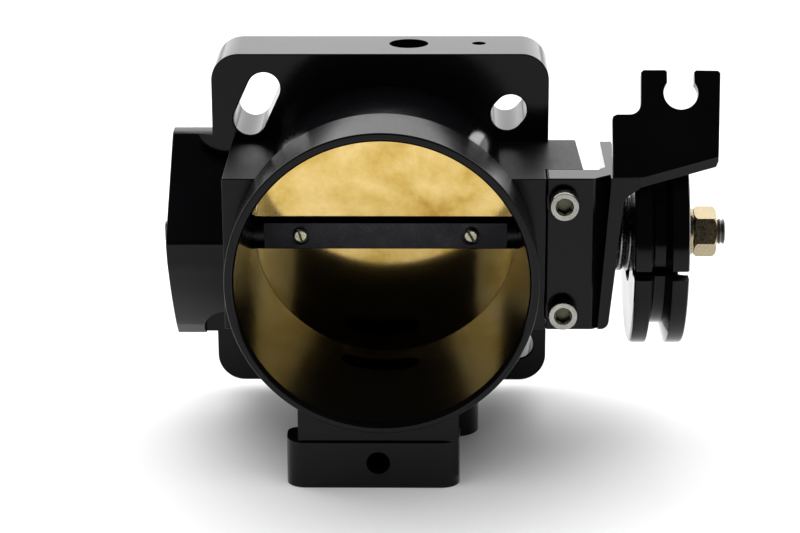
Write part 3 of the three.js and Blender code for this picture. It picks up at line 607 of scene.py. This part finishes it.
def make_nut():
    af, a, b = 13.0, 91.9, 98.5
    r = af / math.sqrt(3)
    n = prism([(y, z) for y, z in hexagon(af, math.pi / 2 - math.radians(17))], a, b, "X")
    ch = lathe([(0, a), (af / 2 - 0.15, a)] + [(af / 2 - 0.15 + (r + 0.25 - af / 2 + 0.15) * k / 6, a + 1.15 * (1 - math.cos(math.pi / 2 * k / 6)) ** 0.9) for k in range(1, 7)] +
               [(af / 2 - 0.15 + (r + 0.25 - af / 2 + 0.15) * k / 6, b - 1.15 * (1 - math.cos(math.pi / 2 * k / 6)) ** 0.9) for k in range(6, 0, -1)] + [(af / 2 - 0.15, b), (0, b)], "X", 96)
    both(n, ch)
    cut(n, lathe([(0, a - 1), (4.9, a - 1), (4.9, a), (4.25, a + 0.6), (4.25, b - 0.6), (4.9, b), (4.9, b + 1), (0, b + 1)], "X", 64))
    n.data.transform(Matrix.Translation((0, SHY, 0)))
    return finish(n, "hex_nut", "shaft_group", "shaft_nut", ZINC, smooth=22)


def make_spring():
    """Round wire torsion spring, swept on a helix, with ground ends."""
    wr, cr, pitch = 1.25, 10.5, 2.65
    n, m = 420, 20
    verts, faces = [], []
    for i in range(n + 1):
        a = math.radians(962 + (-70 - 962) * i / n)
        x = 72.4 + (math.radians(215) - a) / (2 * math.pi) * pitch
        c = Vector((x, SHY + cr * math.cos(a), cr * math.sin(a)))
        tan = Vector((pitch / (2 * math.pi), cr * math.sin(a), -cr * math.cos(a))).normalized()
        rad = Vector((0, math.cos(a), math.sin(a)))
        bi = tan.cross(rad).normalized()
        edge = min(i, n - i)
        w = wr * (1 if edge > 1 else (0.86 if edge == 0 else 1))
        verts += [c + rad * w * math.cos(2 * math.pi * k / m) + bi * w * math.sin(2 * math.pi * k / m) for k in range(m)]
    for i in range(n):
        faces += [(i * m + k, i * m + (k + 1) % m, (i + 1) * m + (k + 1) % m, (i + 1) * m + k) for k in range(m)]
    faces += [tuple(range(m)), tuple(range(n * m, n * m + m))[::-1]]
    s = new_obj("t", verts, faces)
    return finish(s, "torsion_spring", "housing", "return_spring", SPRING_M, smooth=60, tidy=False)


def make_small():
    w = ring(4.2, 7.0, 90.2, 91.6, "X", (0, SHY, 0), 96, 0.18)
    finish(w, "plain_washer", "shaft_group", "pulley_washer", ZINC, bevel=0)
    sp = lathe([(SHR + 0.3, 58.2), (7.9, 58.2), (8.2, 58.5), (8.2, 63.4), (8.8, 64), (8.8, 75.3), (8.5, SEAT - 0.1), (SHR + 0.3, SEAT - 0.1)], "X", 96, (0, SHY, 0))
    finish(sp, "spring_core", "shaft_group", "spring_spool", NYLON, bevel=0)
    st = lathe([(0, -19.4), (1.25, -19.4), (1.5, -19.15)] + sum([[(1.5, -18.9 + 0.5 * i), (1.28, -18.65 + 0.5 * i)] for i in range(31)], []) + [(1.5, -3.1), (1.1, -2.7), (0, -2.7)], "Z", 40, (STOP_X, STOP_Y, 0))
    k = prism(hexagon(1.5), -20, -17.6, "Z")
    k.data.transform(Matrix.Translation((STOP_X, STOP_Y, 0)))
    cut(st, k)
    finish(st, "stop_screw", "housing", "idle_stop_screw", SHAFT_M, bevel=0)
    nt = prism(hexagon(5.5, math.pi / 2), -15.6, -13.0, "Z")
    both(nt, lathe([(0, -15.6), (2.7, -15.6), (3.25, -15.25), (3.25, -13.35), (2.7, -13.0), (0, -13.0)], "Z", 48))
    cut(nt, cyl(1.8, -17, -12, "Z", (0, 0, 0), 32))
    nt.data.transform(Matrix.Translation((STOP_X, STOP_Y, 0)))
    finish(nt, "stop_locknut", "housing", "idle_stop_locknut", ZINC, smooth=22)
    for x0, x1, node, nm in ((-58.4, -52.4, "shaft_bearing_left", "bearing_a"), (49.4, 55.4, "shaft_bearing_right", "bearing_b")):
        r0 = SHR + 0.3
        p = [(r0, x0 + 0.2), (r0 + 0.2, x0), (6.9, x0), (7.0, x0 + 0.1), (7.0, x0 + 0.5), (8.0, x0 + 0.5), (8.0, x0 + 0.1), (8.1, x0), (9.2, x0), (9.5, x0 + 0.3),
             (9.5, x1 - 0.3), (9.2, x1), (8.1, x1), (8.0, x1 - 0.1), (8.0, x1 - 0.5), (7.0, x1 - 0.5), (7.0, x1 - 0.1), (6.9, x1), (r0 + 0.2, x1), (r0, x1 - 0.2)]
        finish(lathe(p, "X", 96, (0, SHY, 0)), nm, "housing", node, RING_M, bevel=0)


STEPS = [make_housing, make_bracket, make_pulley, make_shaft, make_plate, lambda: make_plate_screw(0), lambda: make_plate_screw(1),
         lambda: make_cap_screw(0), lambda: make_cap_screw(1), make_nut, make_spring, make_small]
import time
for st in STEPS:
    t0 = time.time()
    r = st()
    print("piece", r.name if r else "small", round(time.time() - t0, 2), len(r.data.vertices) if r else "")


# --------------------------------------------------------- floor, light, camera
def stage_material():
    m, nt, b = nodes_of("studio_floor")
    f = noise(nt, coords(nt), 3.0, 2.0)
    nt.links.new(ramp(nt, f, [(0.3, (0.86, 0.86, 0.865)), (0.7, (0.89, 0.89, 0.895))]), b.inputs["Base Color"])
    b.inputs["Roughness"].default_value = 0.6
    return m


floor = new_obj("studio_floor", [(-3, -3, 0), (3, -3, 0), (3, 3, 0), (-3, 3, 0)], [(0, 1, 2, 3)])
floor.data.materials.append(stage_material())

world = bpy.data.worlds.new("studio")
SC.world = world
world.use_nodes = True
wt = world.node_tree
wt.nodes.clear()
tc = wt.nodes.new("ShaderNodeTexCoord")
sep = wt.nodes.new("ShaderNodeSeparateXYZ")
wt.links.new(tc.outputs["Generated"], sep.inputs[0])
# bright behind and low all round, dark in front and above the camera
def fade(src, a, b, c, d):
    m = wt.nodes.new("ShaderNodeMapRange")
    m.interpolation_type = "SMOOTHERSTEP"
    for k, v in zip(("From Min", "From Max", "To Min", "To Max"), (a, b, c, d)):
        m.inputs[k].default_value = v
    wt.links.new(src, m.inputs["Value"])
    return m.outputs["Result"]


mul = wt.nodes.new("ShaderNodeMath")
mul.operation = "MULTIPLY_ADD"
wt.links.new(fade(sep.outputs["Y"], -0.10, 0.35, 0.0, 1.8), mul.inputs[0])
wt.links.new(fade(sep.outputs["Z"], 0.45, 0.75, 1.0, 0.0), mul.inputs[1])
mul.inputs[2].default_value = 0.03
bg = wt.nodes.new("ShaderNodeBackground")
out = wt.nodes.new("ShaderNodeOutputWorld")
wt.links.new(mul.outputs[0], bg.inputs["Strength"])
bg.inputs["Color"].default_value = (1, 1, 1, 1)
wt.links.new(bg.outputs[0], out.inputs[0])


def area(name, loc, target, size, energy, sy=None, col=(1, 1, 1)):
    ld = bpy.data.lights.new(name, "AREA")
    ld.shape, ld.size, ld.size_y, ld.energy, ld.color = "RECTANGLE", size, sy or size, energy, col
    o = bpy.data.objects.new(name, ld)
    o.location = loc
    o.rotation_euler = (Vector(target) - Vector(loc)).to_track_quat("-Z", "Y").to_euler()
    COL.objects.link(o)
    return o


area("rear_top_soft", (0, 0.38, 0.62), (0, 0, 0.06), 1.6, 5, 0.5)
# broad ceiling bounce: lights the floor, not mirrored in the glossy parts
area("ceiling_bounce", (0, -0.1, 1.3), (0, -0.1, 0), 2.6, 33).visible_glossy = False

cam_d = bpy.data.cameras.new("camera")
cam = bpy.data.objects.new("camera", cam_d)
COL.objects.link(cam)
SC.camera = cam
cam_d.sensor_width = 36.0
cam_d.lens = 2602.0 * 36.0 / 800.0
cam_d.clip_start, cam_d.clip_end = 0.05, 20


def photo_camera():
    e, yaw, roll = math.radians(18.14), math.radians(1.04), math.radians(-0.25)
    ce, se, cy, sy = math.cos(e), math.sin(e), math.cos(yaw), math.sin(yaw)
    fwd, right = Vector((-sy * ce, cy * ce, -se)), Vector((cy, sy, 0))
    up = right.cross(fwd)
    r2, u2 = right * math.cos(roll) + up * math.sin(roll), up * math.cos(roll) - right * math.sin(roll)
    pos = (Vector((17.78, -692.15, 232.65)) + OFF) * 0.001
    m = Matrix((( r2.x, u2.x, -fwd.x, pos.x), (r2.y, u2.y, -fwd.y, pos.y), (r2.z, u2.z, -fwd.z, pos.z), (0, 0, 0, 1)))
    cam.matrix_world = m


photo_camera()
SC.view_settings.view_transform = "Standard"
